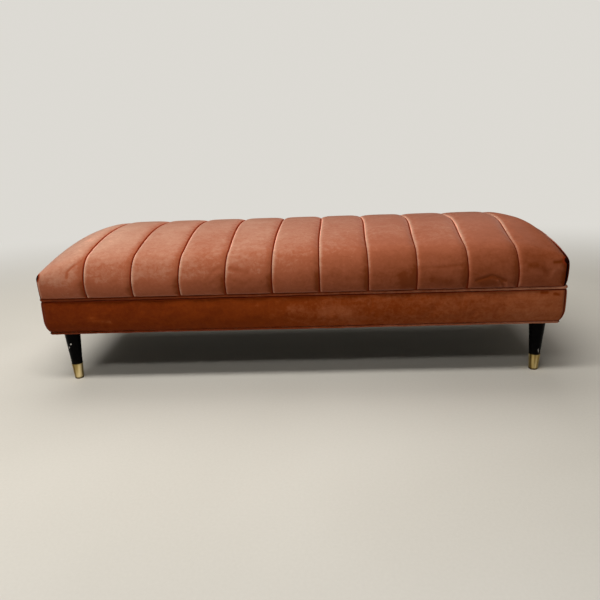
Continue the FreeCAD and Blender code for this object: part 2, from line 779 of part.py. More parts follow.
os.makedirs("parts", exist_ok=True)
for item in parts:
    shape = item.Shape
    if shape.isNull() or not shape.isValid():
        raise RuntimeError(f"{item.Label} is not a sound shape")
    shape.exportStep(f"parts/{item.Label}.step")
    print(f"{item.Label}: {len(shape.Solids)} solids, {shape.Volume / 1000:.1f} cm3")
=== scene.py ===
# %% [markdown]
# A long, low bench: a seat sewn in eleven channels, a padded band round the frame under it, piping
# above and below the band, and four turned legs with brass ferrules. Timber, legs and screws come
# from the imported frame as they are. Everything soft is made here, over that frame.

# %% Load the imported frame
import math
import random
from functools import cache, partial

import bmesh
import bpy
from mathutils import Matrix, Vector, kdtree, noise


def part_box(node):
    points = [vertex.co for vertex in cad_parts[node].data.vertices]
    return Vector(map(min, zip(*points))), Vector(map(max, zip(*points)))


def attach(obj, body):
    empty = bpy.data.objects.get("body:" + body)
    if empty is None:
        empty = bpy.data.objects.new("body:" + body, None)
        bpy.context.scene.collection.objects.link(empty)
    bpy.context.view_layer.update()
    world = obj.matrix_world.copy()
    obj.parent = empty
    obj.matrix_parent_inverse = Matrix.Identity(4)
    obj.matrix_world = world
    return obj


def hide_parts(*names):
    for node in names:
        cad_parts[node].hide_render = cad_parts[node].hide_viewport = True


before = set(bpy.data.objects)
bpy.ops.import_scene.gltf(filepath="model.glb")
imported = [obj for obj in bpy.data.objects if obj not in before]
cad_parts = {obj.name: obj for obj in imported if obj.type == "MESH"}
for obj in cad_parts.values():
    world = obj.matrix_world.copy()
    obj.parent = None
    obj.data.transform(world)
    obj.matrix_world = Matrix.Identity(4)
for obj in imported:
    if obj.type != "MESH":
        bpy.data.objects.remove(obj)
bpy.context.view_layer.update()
scene = bpy.context.scene
MM = 0.001

# %% [markdown]
# The camera comes first, so that every later look is through the same eye. It stands low and near
# and leans by two degrees, as a telephone held in the hand does.

# %% The camera
EYE = Vector((0.073, -1.782, 0.737))
YAW, PITCH, ROLL = (math.radians(angle) for angle in (-2.63, 18.15, -2.25))
lens = bpy.data.cameras.new("camera")
lens.lens, lens.sensor_width = 36, 36
camera = bpy.data.objects.new("camera", lens)
camera.matrix_world = (Matrix.Translation(EYE) @ Matrix.Rotation(-YAW, 4, "Z")
                       @ Matrix.Rotation(math.pi / 2 - PITCH, 4, "X") @ Matrix.Rotation(ROLL, 4, "Z"))
scene.collection.objects.link(camera)
scene.camera = camera
print("camera", [round(x, 3) for x in camera.matrix_world.translation])

# %% [markdown]
# Every finish below is a sum of simple patterns. Two small classes keep that readable: a Signal is
# one socket, used in sums like a number, and a Finish is a material under way, or the world.

# %% Shader arithmetic


def arithmetic(operation, turned=False):
    """The method of one sign, or, turned, of that sign with the signal on its right."""
    def method(self, other):
        return self.math(operation, *((other, self) if turned else (self, other)))
    return method


class Signal:
    """One output socket, in sums that add Math nodes."""

    __add__, __radd__ = arithmetic("ADD"), arithmetic("ADD", True)
    __sub__, __rsub__ = arithmetic("SUBTRACT"), arithmetic("SUBTRACT", True)
    __mul__, __rmul__ = arithmetic("MULTIPLY"), arithmetic("MULTIPLY", True)
    __truediv__, __mod__ = arithmetic("DIVIDE"), arithmetic("MODULO")

    def __init__(self, finish, socket):
        self.finish = finish
        self.socket = socket

    def math(self, operation, first, second=0.0):
        return self.finish.node("ShaderNodeMath", {"operation": operation}, {0: first, 1: second})

    def floor(self):
        return self.math("FLOOR", self)

    def capped(self):
        return self.math("MINIMUM", self, 1.0)


class Finish:
    """A material or a world under way."""

    def __init__(self, name, family=bpy.data.materials):
        self.owner = family.new(name)
        self.owner.use_nodes = True
        self.tree = self.owner.node_tree
        self.tree.nodes.clear()
        self.place = self.node("ShaderNodeTexCoord", output="Object")

    def node(self, kind, settings=(), sockets=(), output=0):
        """Add a node: its settings first, then the values or links of its sockets."""
        node = self.tree.nodes.new(kind)
        for name, value in dict(settings).items():
            if name == "stops":
                ramp = node.color_ramp
                while len(ramp.elements) < len(value):
                    ramp.elements.new(1.0)
                for element, (position, colour) in zip(ramp.elements, value):
                    element.position = position
                    element.color = (*colour, 1.0)
            else:
                setattr(node, name, value)
        for name, value in dict(sockets).items():
            if isinstance(value, Signal):
                self.tree.links.new(value.socket, node.inputs[name])
            else:
                node.inputs[name].default_value = value
        return Signal(self, node.outputs[output]) if node.outputs else None

    def stretched(self, scale, turned=(0.0, 0.0, 0.0)):
        """The object's coordinates, turned and then stretched along each axis."""
        return self.node("ShaderNodeMapping", {},
                         {"Vector": self.place, "Scale": scale, "Rotation": turned})

    def noise(self, scale, detail=2.0, distortion=0.0, place=None, roughness=0.5):
        return self.node("ShaderNodeTexNoise", {}, {
            "Vector": place or self.place, "Scale": scale, "Detail": detail,
            "Roughness": roughness, "Distortion": distortion,
        })

    def cells(self, scale, place=None, output="Distance"):
        return self.node("ShaderNodeTexVoronoi", {},
                         {"Vector": place or self.place, "Scale": scale}, output)

    def step(self, value, low, high, onto=(0.0, 1.0)):
        """A soft step from one value to another as the signal goes from low to high."""
        return self.node("ShaderNodeMapRange", {"interpolation_type": "SMOOTHSTEP"}, {
            "Value": value, "From Min": low, "From Max": high, "To Min": onto[0], "To Max": onto[1],
        })

    def ramp(self, value, stops):
        return self.node("ShaderNodeValToRGB", {"stops": stops}, {"Fac": value})

    def mix(self, share, first, second, blend="MIX"):
        """Two colours mixed; a plain colour is given as three numbers."""
        first, second = (x if isinstance(x, Signal) else (*x, 1.0) for x in (first, second))
        return self.node("ShaderNodeMix", {"data_type": "RGBA", "blend_type": blend},
                         {0: share, 6: first, 7: second}, 2)

    def part(self, axis):
        """One of the object's coordinates."""
        return self.node("ShaderNodeSeparateXYZ", {}, {0: self.place}, axis)

    def written(self, name):
        """A number that the mesh carries at each vertex."""
        return self.node("ShaderNodeAttribute", {"attribute_name": name}, {}, "Fac")

    def away(self, point):
        """Distance from a point."""
        return self.node("ShaderNodeVectorMath", {"operation": "DISTANCE"},
                         {0: self.place, 1: point}, "Value")

    def bump(self, height, distance, strength=1.0, over=None):
        sockets = {"Height": height, "Distance": distance, "Strength": strength}
        if over:
            sockets["Normal"] = over
        return self.node("ShaderNodeBump", {}, sockets)

    def surface(self, sockets):
        return self.node("ShaderNodeBsdfPrincipled", {}, sockets)

    def either(self, share, first, second):
        """Two surfaces mixed by a share."""
        return self.node("ShaderNodeMixShader", {}, {0: share, 1: first, 2: second})

    def seen_by_eye(self):
        """1 for what the camera, a reflection or a clear material sees, and 0 for what gives light."""
        camera, glossy, clear = (self.node("ShaderNodeLightPath", output=f"Is {ray} Ray")
                                 for ray in ("Camera", "Glossy", "Transmission"))
        return camera.math("MAXIMUM", camera.math("MAXIMUM", camera, glossy), clear)

    def done(self, surface, kind="Material"):
        """Close the nodes with their surface."""
        self.node("ShaderNodeOutput" + kind, {}, {"Surface": surface})
        return self.owner


# %% [markdown]
# Velvet is a dense pile of short fibres. Seen into the pile it is deep and red, and where the light
# grazes it the tips shine pale, so much of its look is the shader's sheen. How the nap lies is a
# level from deep to pale. It drifts along the bench: on the seat it is paler to the left, a painted
# fall of light from the left, and on the band and piping it runs the other way. Hands have stroked
# it over in soft patches. Each mesh carries three numbers more: "nap" moves the level and carries
# painted highlight and painted shade as well as the nap's own marks, "crease" is painted shade, 1 in
# a seam and up to 2 in the sewn edges, which are painted nearly black, and "lip" is the share that
# doesn't shine. The band and the piping, a strip on the bias, are darker copies with little sheen:
# painted shade under the seat.

# %% Velvet


def velvet(name, colours, sheen, drift, stretch, mottled):
    """Velvet in four colours from deep to pale, whose level rises by the drift in each metre."""
    finish = Finish(name)
    patches = finish.noise(5.0, 1.0, 0.5, finish.stretched(stretch), 0.4)
    marks = finish.noise(17.0, 3.0, 0.9, finish.stretched((1.0, 0.7, 1.4)), 0.5)
    strokes = finish.noise(32.0, 3.0, 1.2, finish.stretched((0.7, 1.0, 1.8), (0.0, 0.6, 0.2)), 0.6)
    crush = finish.noise(95.0, 2.0, 0.8)
    pile = finish.noise(1500.0, 1.0)
    uneven = (patches - 0.5) * 0.26 + (marks - 0.5) * 0.2 + (strokes - 0.5) * 0.22 + (crush - 0.5) * 0.3
    level = 0.5 + finish.written("nap") + finish.part(0) * drift + uneven * mottled + (pile - 0.5) * 0.25
    colour = finish.ramp(level, tuple(zip((0.0, 0.5, 0.85, 1.0), colours)))
    grain = finish.bump(pile, 0.0005, 0.3)
    crushed = finish.bump(crush * 0.4 + marks + strokes * 0.6, 0.001, 0.14, grain)
    cloth = finish.surface({
        "Base Color": colour,
        "Roughness": 0.92 - 0.14 * finish.step(level, 0.3, 0.8),
        "Specular IOR Level": 0.05,
        "Sheen Weight": sheen,
        "Sheen Roughness": 0.4,
        "Sheen Tint": (1.0, 0.71, 0.62, 1.0),
        "Normal": crushed,
    })
    # The crease number paints shade: a dark surface without sheen in the seams, the sewn edges, beside
    # the piping and at the corner tips.
    crease, lip = finish.written("crease"), finish.written("lip")
    shade = finish.ramp(crease * 0.5, ((0.5, (0.22, 0.030, 0.008)), (0.9, (0.010, 0.0012, 0.0006))))
    flank = finish.mix(finish.step(crease, 0.15, 0.75), colour, shade)
    folded = finish.surface({"Base Color": flank, "Roughness": 0.95, "Specular IOR Level": 0.02})
    # The lip share takes the sheen away; towards the right end that is painted shade.
    return finish.done(finish.either((crease + lip * 0.9).capped(), cloth, folded))


SEAT_COLOURS = ((0.165, 0.032, 0.005), (0.33, 0.094, 0.043), (0.50, 0.265, 0.176), (0.88, 0.40, 0.27))
# The band and the piping are darker, redder copies of the seat velvet with little sheen: painted shade
# under the seat.
SHADED_BAND_COLOURS = ((0.085, 0.007, 0.0002), (0.20, 0.034, 0.003), (0.33, 0.095, 0.035), (0.42, 0.14, 0.06))
SHADED_PIPING_COLOURS = ((0.10, 0.012, 0.002), (0.24, 0.05, 0.015), (0.46, 0.19, 0.11), (0.55, 0.26, 0.17))
# The seat's level falls by 0.2 in each metre to the right: a painted fall of light from the lamps on the
# left.
seat_velvet = velvet("seat_velvet", SEAT_COLOURS, 0.65, -0.2, (1.0, 0.6, 1.0), 0.95)
shaded_band_velvet = velvet("shaded_band_velvet", SHADED_BAND_COLOURS, 0.1, 0.38, (0.6, 0.6, 1.4), 1.2)
shaded_piping_velvet = velvet("shaded_piping_velvet", SHADED_PIPING_COLOURS, 0.12, 0.4, (0.6, 0.6, 1.4), 1.0)
print("velvets", seat_velvet.name, shaded_band_velvet.name, shaded_piping_velvet.name)

# %% [markdown]
# The legs are turned beech under glossy black lacquer, with fine scratches round the leg, a dull
# scuff at the foot and a few chips where the white undercoat shows. The ferrules are spun brass,
# with fine rings from the lathe. Upright pale and dark streaks in their colour are painted highlight
# and painted reflection, and both rims are painted darker, a painted shade at the leg and the floor.

# %% Lacquer and brass
CHIPS = (
    ((-0.654, -0.227, 0.111), 0.0026), ((-0.661, -0.224, 0.101), 0.0017),
    ((-0.662, -0.223, 0.097), 0.0012), ((0.657, -0.222, 0.064), 0.0016),
    ((0.658, -0.222, 0.060), 0.0018), ((0.658, -0.221, 0.056), 0.0015),
)


def lacquer():
    finish = Finish("black_lacquer")
    brushed = finish.noise(40.0, 3.0, 0.0, finish.stretched((1.0, 1.0, 14.0)))
    wear = finish.noise(60.0, 3.0, 0.4)
    height = finish.part(2)
    ragged = finish.noise(420.0, 3.0) * 0.0022
    flakes = finish.cells(190.0, finish.stretched((1.0, 1.0, 0.6)))
    chip = (1.0 - finish.step(flakes, 0.1, 0.16)) * finish.step(finish.noise(33.0, 2.0), 0.71, 0.74)
    for point, radius in CHIPS:
        chip = chip + finish.step(finish.away(point) + ragged, radius + 0.0009, radius + 0.0005)
    chip = chip.capped()
    body = finish.ramp(wear, ((0.2, (0.0009, 0.0008, 0.0009)), (0.8, (0.0026, 0.0022, 0.0022))))
    dusty = finish.mix(0.05 * finish.step(height, 0.065, 0.047), body, (0.06, 0.05, 0.045))
    return finish.done(finish.surface({
        "Base Color": finish.mix(chip, dusty, (0.72, 0.70, 0.66)),
        "Roughness": 0.2 + 0.22 * finish.step(wear, 0.4, 0.8) + 0.4 * chip,
        "Specular IOR Level": 0.03,
        "Normal": finish.bump(brushed * 0.25 - chip, 0.0003, 0.4),
    }))


def brass():
    finish = Finish("brushed_brass")
    rings = finish.noise(120.0, 2.0, 0.0, finish.stretched((1.0, 1.0, 26.0)))
    tarnish = finish.noise(45.0, 3.0, 0.6, finish.stretched((1.0, 1.0, 0.5)))
    # Upright streaks in the brass colour are painted highlights and painted reflections.
    painted_reflection_streaks = finish.noise(95.0, 1.0, 0.0, finish.stretched((1.0, 1.0, 0.04)))
    height = finish.part(2)
    # Both rims are painted darker: painted shade where the ferrule meets the leg and the floor.
    rim = finish.step(height, 0.007, 0.003) + finish.step(height, 0.0455, 0.047)
    tone = painted_reflection_streaks * 0.8 + tarnish * 0.2
    brass_with_painted_reflections = finish.ramp(tone, (
        (0.36, (0.17, 0.105, 0.025)), (0.5, (0.44, 0.32, 0.12)), (0.62, (0.78, 0.63, 0.33)),
    ))
    return finish.done(finish.surface({
        "Base Color": finish.mix(rim * 0.85, brass_with_painted_reflections, (0.05, 0.028, 0.01)),
        "Metallic": 1.0,
        "Roughness": 0.4 + 0.1 * tarnish + 0.1 * rim,
        "Anisotropic": 0.85,
        "Anisotropic Rotation": 0.25,
        "Normal": finish.bump(rings, 0.0001, 0.12),
    }))


black_lacquer, brushed_brass = lacquer(), brass()

# %% [markdown]
# Nobody sees the inside, yet it carries the rest: sawn pine rails with their grain along each
# length, a plywood deck, plated steel screws, cream foam and black spun cloth underneath.

# %% Timber, steel, foam and dust cloth
PLIES = 9


def pine(name, axis):
    """Pine with its grain along one axis."""
    finish = Finish(name)
    scale = [1.0, 1.0, 1.0]
    scale[axis] = 0.06
    along = finish.stretched(scale)
    bent = finish.noise(9.0, 2.0, 0.5, along)
    rings = finish.node("ShaderNodeTexWave", {"wave_type": "RINGS", "rings_direction": "XYZ"[axis]}, {
        "Vector": along, "Scale": 26.0, "Distortion": 7.0, "Detail": 2.0, "Detail Scale": 1.6,
    }, "Fac")
    fibre = finish.noise(700.0, 2.0, 0.0, along)
    scale[axis] = 0.35
    knot = 1.0 - finish.step(finish.cells(5.0, finish.stretched(scale)), 0.03, 0.09)
    tone = rings * 0.55 + bent * 0.3 + fibre * 0.25
    wood = finish.ramp(tone, (
        (0.2, (0.42, 0.245, 0.105)), (0.6, (0.60, 0.41, 0.21)), (0.95, (0.70, 0.52, 0.31)),
    ))
    return finish.done(finish.surface({
        "Base Color": finish.mix(knot, wood, (0.19, 0.085, 0.035)),
        "Roughness": 0.62 + 0.2 * fibre,
        "Normal": finish.bump(fibre + rings * 0.5, 0.0006, 0.6),
    }))


def plywood():
    """Face veneers above and below, and seven layers between them that show at the edge."""
    finish = Finish("plywood")
    low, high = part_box("seat_deck")
    layer = (high.z - low.z) / PLIES
    height = (finish.part(2) - low.z) / layer
    ply = height.floor() % 2.0
    long_grain = finish.noise(60.0, 3.0, 0.3, finish.stretched((0.05, 1.0, 1.0)))
    cross_grain = finish.noise(420.0, 2.0, 0.0)
    tone = long_grain * (1.0 - ply) + cross_grain * ply
    wood = finish.ramp(tone, ((0.25, (0.46, 0.30, 0.15)), (0.75, (0.66, 0.48, 0.28))))
    return finish.done(finish.surface({
        "Base Color": finish.mix(ply * 0.35, wood, (0.33, 0.19, 0.085)),
        "Roughness": 0.6 + 0.15 * tone,
        "Normal": finish.bump(tone, 0.0004, 0.5),
    }))


def zinc():
    finish = Finish("zinc_steel")
    spangle = finish.cells(420.0, output="Color")
    dull = finish.noise(240.0, 3.0)
    shade = finish.ramp(dull, ((0.3, (0.42, 0.43, 0.42)), (0.75, (0.62, 0.62, 0.58))))
    return finish.done(finish.surface({
        "Base Color": finish.mix(0.12, shade, spangle),
        "Metallic": 1.0,
        "Roughness": 0.32 + 0.22 * dull,
        "Normal": finish.bump(dull, 0.0002, 0.4),
    }))


def foam():
    finish = Finish("seat_foam")
    pores = finish.cells(620.0)
    aged = finish.noise(6.0, 3.0, 0.4)
    cream = finish.ramp(aged, ((0.3, (0.80, 0.68, 0.36)), (0.7, (0.86, 0.78, 0.52))))
    return finish.done(finish.surface({
        "Base Color": finish.mix(0.5 * finish.step(pores, 0.5, 0.1), cream, (0.52, 0.42, 0.2)),
        "Roughness": 0.95,
        "Normal": finish.bump(pores, 0.0012, 0.7),
    }))


def dust_cloth():
    """Spun cloth: black fibres pressed together in a grid of small dots."""
    finish = Finish("dust_cloth")
    fibre = finish.noise(900.0, 3.0, 1.2)
    dots = finish.cells(430.0)
    lint = finish.noise(30.0, 4.0, 0.8)
    cloth = finish.ramp(fibre, ((0.3, (0.010, 0.010, 0.011)), (0.75, (0.034, 0.033, 0.034))))
    return finish.done(finish.surface({
        "Base Color": finish.mix(0.22 * finish.step(lint, 0.55, 0.75), cloth, (0.16, 0.15, 0.14)),
        "Roughness": 0.85 - 0.2 * finish.step(dots, 0.3, 0.1),
        "Sheen Weight": 0.15,
        "Normal": finish.bump(fibre + finish.step(dots, 0.25, 0.45) * 0.6, 0.0003, 0.7),
    }))


# %% [markdown]
# The CAD pieces whose shape is right only get their finish. Rails lie along the bench and across
# it, so the pine comes in two directions.

# %% Finishes of the rigid pieces
pine_long, pine_cross = pine("pine_long", 0), pine("pine_cross", 1)
deck_ply, plated, cream_foam, spun_cloth = plywood(), zinc(), foam(), dust_cloth()
LONG_PIECES = ("front_rail", "rear_rail")
BY_WORD = (("rail", pine_cross), ("block", pine_cross), ("deck_screws", plated), ("deck", deck_ply),
           ("bolt", plated), ("nuts", plated), ("screws", plated), ("ferrule", brushed_brass),
           ("leg", black_lacquer))
dressed = 0
for name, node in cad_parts.items():
    finish = next((found for word, found in BY_WORD if word in name), None)
    if finish is None:
        continue
    finish = pine_long if name in LONG_PIECES else finish
    for slot in node.material_slots:
        slot.material = finish
    dressed += 1
print("rigid pieces dressed", dressed)

# %% [markdown]
# The seat's cross-section is the one the CAD piece has: a face that leans out from the welt, a
# shoulder and a low crown, all arcs. Equal steps along it give every cover threads that run true.

# %% The seat's outline


class Outline:
    """Cross-section of the seat, walked from the front welt over the crown to the rear welt."""

    def __init__(self, half_width, base, top, crown_radius, shoulder_radius, bulge):
        self.sizes = (half_width, base, top, crown_radius, shoulder_radius, bulge)
        self.width = half_width + bulge
        self.inner = self.width - shoulder_radius
        self.centre = top - crown_radius
        self.level = self.centre + math.sqrt((crown_radius - shoulder_radius) ** 2 - self.inner ** 2)
        drop = self.level - base
        self.face_radius = (drop ** 2 + bulge ** 2) / (2 * bulge)
        self.bend = math.asin(drop / self.face_radius)
        self.lean = math.asin(self.inner / (crown_radius - shoulder_radius))
        self.crown_radius, self.shoulder_radius = crown_radius, shoulder_radius
        self.face = self.face_radius * self.bend
        self.shoulder = shoulder_radius * (math.pi / 2 - self.lean)
        self.half = self.face + self.shoulder + crown_radius * self.lean

    def towards(self, other, share):
        return Outline(*(a + (b - a) * share for a, b in zip(self.sizes, other.sizes)))

    def padded_in(self, amount):
        """The outline under the padding."""
        half_width, base, top, crown, shoulder, bulge = self.sizes
        return Outline(half_width - amount, base, top - amount, crown,
                       max(shoulder - amount, LEAST_SHOULDER), bulge)

    def at(self, share):
        """Place and outward direction at a share of the way."""
        side = -1 if share < 0.5 else 1
        walked = self.half * (1 - abs(2 * share - 1))
        if walked < self.face:
            turn = walked / self.face_radius - self.bend
            start, level, radius = self.width - self.face_radius, self.level, self.face_radius
        elif walked < self.face + self.shoulder:
            turn = (walked - self.face) / self.shoulder_radius
            start, level, radius = self.inner, self.level, self.shoulder_radius
        else:
            turn = math.pi / 2 - self.lean + (walked - self.face - self.shoulder) / self.crown_radius
            start, level, radius = 0, self.centre, self.crown_radius
        outward = Vector((0, side * math.cos(turn), math.sin(turn)))
        place = Vector((0, side * (start + radius * math.cos(turn)), level + radius * math.sin(turn)))
        return place, outward


HALF_LENGTH, HALF_DEPTH, CUSHION_BASE = 706 * MM, 260 * MM, 256.8 * MM
LEAST_SHOULDER = 9 * MM
SEAM_LINE = Outline(HALF_DEPTH, CUSHION_BASE, top=389 * MM, crown_radius=1060 * MM,
                    shoulder_radius=70 * MM, bulge=11 * MM)
END_LINES = {side: Outline(HALF_DEPTH, CUSHION_BASE, top, crown_radius, LEAST_SHOULDER, bulge=4 * MM)
             for side, top, crown_radius in ((-1, 344.8 * MM, 1450 * MM), (1, 363 * MM, 1030 * MM))}
print("cloth over the seat, in mm", round(2 * SEAM_LINE.half / MM), round(2 * END_LINES[1].half / MM))

# %% [markdown]
# The seams were sewn by eye: by some millimetres each, they stray from equal spacing, sway over the
# shoulder and skew to the right on the crown. A channel is cut as a flat grid laid over the outline,
# drawn down at its seams and full between them. The two end channels fall away to the sewn end
# edges, where the corners stay pointed.

# %% Channels as cut
SEAM_STRAY = (6.6, 5.3, 3.9, -0.5, -4.8, -7.2, -7.2, -9.5, -5.8, -4.6)
CHANNELS = len(SEAM_STRAY) + 1
CHANNEL_WIDTH = 2 * HALF_LENGTH / CHANNELS
LEFT_EDGE, RIGHT_EDGE = 4.5 * MM - HALF_LENGTH, HALF_LENGTH - 11 * MM
SEAMS = [(step + 1 - CHANNELS / 2) * CHANNEL_WIDTH + stray * MM for step, stray in enumerate(SEAM_STRAY)]
EDGES = [LEFT_EDGE, *SEAMS, RIGHT_EDGE]
SWAY = (2, 6, 8, 8, 4, 0, -2, 0, -3, -5)
SKEW = (5, 6, 5, 6, 11, 7, 6, 13, 12, 15)
RISE, SEAM_SINK, EDGE_SINK = 5.6 * MM, 1.4 * MM, 0.6 * MM
FULLNESS = 3.2
WELT_TUCK, WELT_PINCH, WELT_ROLL = 24 * MM, 1.2 * MM, 7 * MM
FALL = 1.47
PADDING, SEAM_GAP = 20 * MM, 0.4 * MM


def between(value, low, high):
    """A share from 0 at one value to 1 at another."""
    return min(max((value - low) / (high - low), 0), 1)


def swell(share, power):
    """How full a padded strip is, from 0 at its sewn edges to 1 in its middle."""
    return (1 - abs(2 * share - 1) ** power) ** (1 / power)


def crowd(share, amount):
    """Move evenly spaced shares towards both ends, where a padded strip bends most."""
    return share + amount * ((1 - math.cos(math.pi * share)) / 2 - share)


@cache
def outline_at(index, share):
    """The seat's outline at a share of the way across a channel."""
    if index == 0:
        return SEAM_LINE.towards(END_LINES[-1], (1 - share) ** FALL)
    return SEAM_LINE.towards(END_LINES[1], share ** FALL if index == CHANNELS - 1 else 0)


def edge_at(edge, along):
    """Where an edge of a channel lies, at a share of the way from front to rear."""
    if not 0 < edge < CHANNELS:
        return EDGES[edge]
    sway, skew = SWAY[edge - 1], SKEW[edge - 1]
    crossed = (1 - math.cos(math.pi * between(along, 0.2, 0.6))) / 2
    stray = sway * between(along, 0.06, 0.2) + (skew - sway) * crossed - skew * between(along, 0.75, 1)
    return EDGES[edge] + stray * MM


def channel_point(index, across, along):
    """A point of a channel's cover, by its shares from left to right and from front to rear."""
    outer = (index == 0 and across < 0.5) or (index == CHANNELS - 1 and across > 0.5)
    sink = EDGE_SINK if outer else SEAM_SINK
    outline = outline_at(index, across)
    place, outward = outline.at(along)
    from_welt = outline.half * (1 - abs(2 * along - 1))
    tuck = math.sqrt(1 - (1 - min(from_welt / WELT_TUCK, 1)) ** 2)
    pinch = WELT_PINCH * (1 - min(from_welt / WELT_ROLL, 1)) ** 2
    place += outward * (tuck * ((sink + RISE) * swell(across, FULLNESS) - sink) - pinch)
    place.x = edge_at(index, along) * (1 - across) + edge_at(index + 1, along) * across
    return place


def under_channel(index, across, along):
    """The same point on the underside of the padding."""
    place, _ = outline_at(index, across).padded_in(PADDING).at(along)
    left = edge_at(index, along) + (PADDING if index == 0 else SEAM_GAP)
    right = edge_at(index + 1, along) - (PADDING if index == CHANNELS - 1 else SEAM_GAP)
    place.x = left + (right - left) * across
    return place


def lay_grid(bm, across, along, where):
    """Add a grid to the mesh, each vertex laid at its own shares, and return its vertices."""
    made = bmesh.ops.create_grid(bm, x_segments=across, y_segments=along, size=0.5)["verts"]
    for vert in made:
        vert.co = where(vert.co.x + 0.5, vert.co.y + 0.5)
    return made


def new_piece(name, bm, finish):
    mesh = bpy.data.meshes.new(name)
    bm.to_mesh(mesh)
    bm.free()
    mesh.materials.append(finish)
    mesh.shade_smooth()
    piece = bpy.data.objects.new(name, mesh)
    scene.collection.objects.link(piece)
    return piece


class Cover:
    """A cover as cut. Its skin and its underside are functions of two crowded shares."""

    def __init__(self, name, grid, crowding, skin, under, finish, slack):
        self.name, self.grid, self.slack = name, grid, slack
        self.under = lambda *shares: under(*map(crowd, shares, crowding))
        bm = bmesh.new()
        lay_grid(bm, *grid, lambda *shares: skin(*map(crowd, shares, crowding)))
        self.piece = new_piece(name, bm, finish)
        self.cut = [vert.co.copy() for vert in self.piece.data.vertices]


covers = [Cover(f"seat_channel_{index + 1:02d}", (26, 124), (0.7, 0), partial(channel_point, index),
                partial(under_channel, index), seat_velvet, 0.0025) for index in range(CHANNELS)]
print("channels cut", len(covers), "in mm", [round((b - a) / MM) for a, b in zip(EDGES, EDGES[1:])])

# %% [markdown]
# Each end of the seat is one plain panel under the sewn edge: flat-bottomed, with two pointed upper
# corners and a low pillow, fuller on the right. A grid is blended into its four sides, so the threads
# stay square.

# %% End panels as cut
PANEL_BULGE = {-1: (9 * MM, 1.3), 1: (19 * MM, 3.6)}
PANEL_EDGE = {-1: LEFT_EDGE, 1: RIGHT_EDGE}


def corner_share(outline):
    return (outline.face + outline.shoulder / 2) / (2 * outline.half)


def blended(outline, side, across, up):
    """A point inside an outline, by its shares along a side's edge and from foot to top."""
    across = across if side > 0 else 1 - across
    corner = corner_share(outline)
    front, rear = outline.at(corner * up)[0], outline.at(1 - corner * up)[0]
    foot = outline.at(0)[0].lerp(outline.at(1)[0], across)
    top = outline.at(corner + (1 - 2 * corner) * across)[0]
    tips = outline.at(corner)[0].lerp(outline.at(1 - corner)[0], across)
    return front.lerp(rear, across) + foot.lerp(top, up) - foot.lerp(tips, up)


def end_point(side, across, up):
    place = blended(END_LINES[side], side, across, up)
    place.z += EDGE_SINK * (swell(across, 4) * swell(up, 4) - 1) * up
    bulge, fullness = PANEL_BULGE[side]
    place.x = PANEL_EDGE[side] + side * bulge * swell(across, fullness) * swell(up, 3)
    return place


def under_end(side, across, up):
    place = blended(END_LINES[side].padded_in(PADDING + MM), side, across, up)
    place.x = PANEL_EDGE[side] - side * (PADDING - MM)
    return place


for name, side in (("left_end", -1), ("right_end", 1)):
    covers.append(Cover(f"{name}_pillow", (60, 22), (0.5, 0.5), partial(end_point, side),
                        partial(under_end, side), seat_velvet, 0.003))
print("end panels cut", len(PANEL_EDGE))

# %% [markdown]
# The band is padding over the rails with velvet pulled down over it. It stands upright, and its
# lowest third turns in towards the lower piping. Four lengths meet in a seam round each corner.

# %% Band covers as cut
CORNER = 12 * MM
BAND_BASE, BAND_TOP = 157.1 * MM, 249.2 * MM
TURN_HEIGHT, TURN_INSET = 33 * MM, 11 * MM
BAND_FULLNESS, BAND_PINCH = (2.2 * MM, 5.5 * MM), 2.4 * MM
SEAM_DEPTH, SEAM_ROLL, SEAM_PULL = 2 * MM, 7 * MM, 40 * MM
BAND_CELL, BAND_ROWS = 6 * MM, 16
LINING = 15.4 * MM
SIDES = ("front", "right_end", "rear", "left_end")


def side_run(side, inset):
    """Half the length of a side, and how far out it lies, on a line inside the face of the bench."""
    run, out = (HALF_LENGTH, HALF_DEPTH) if side % 2 == 0 else (HALF_DEPTH, HALF_LENGTH)
    return run - inset, out - inset


def quarter_turned(vector, side):
    return Matrix.Rotation(math.pi / 2 * side, 3, "Z") @ vector


def round_bench(side, share, inset=CORNER, radius=CORNER):
    """A place on the line through the middles of the corner arcs, and the way out from it."""
    run, out = side_run(side, inset)
    bend = radius * math.pi / 4
    walked = share * 2 * (run + bend) - bend
    straight = min(max(walked, 0), 2 * run)
    turn = (walked - straight) / CORNER
    place = Vector((straight - run, -out, 0))
    outward = Vector((math.sin(turn), -math.cos(turn), 0))
    return quarter_turned(place, side), quarter_turned(outward, side)


def side_length(side):
    return 2 * (side_run(side, CORNER)[0] + CORNER * math.pi / 4)


def band_point(side, along, up):
    place, outward = round_bench(side, along)
    level = BAND_BASE + (BAND_TOP - BAND_BASE) * up
    below = max(BAND_BASE + TURN_HEIGHT - level, 0)
    radius = (TURN_HEIGHT ** 2 + TURN_INSET ** 2) / (2 * TURN_INSET)
    drawn_in = radius - math.sqrt(radius ** 2 - below ** 2)
    from_seam = min(along, 1 - along) * side_length(side)
    seam = SEAM_DEPTH * (1 - math.sqrt(1 - (1 - min(from_seam / SEAM_ROLL, 1)) ** 2))
    above, beneath = (min(x / WELT_ROLL, 1) for x in (BAND_TOP - level, level - BAND_BASE))
    pinch = BAND_PINCH * ((1 - above) ** 2 + 0.3 * (1 - beneath) ** 2)
    full = BAND_FULLNESS[side % 2] * swell(up, 3) * min(from_seam / SEAM_PULL, 1) ** 0.4
    return place + outward * (CORNER - drawn_in - seam - pinch + full) + Vector((0, 0, level))


def square_inside(side, along, inset, level):
    """A point on a square-cornered line inside the face of the bench."""
    run, out = side_run(side, inset)
    return quarter_turned(Vector(((2 * along - 1) * run, -out, level)), side)


def under_band(side, along, up):
    return square_inside(side, along, LINING, BAND_BASE + (BAND_TOP - BAND_BASE) * up)


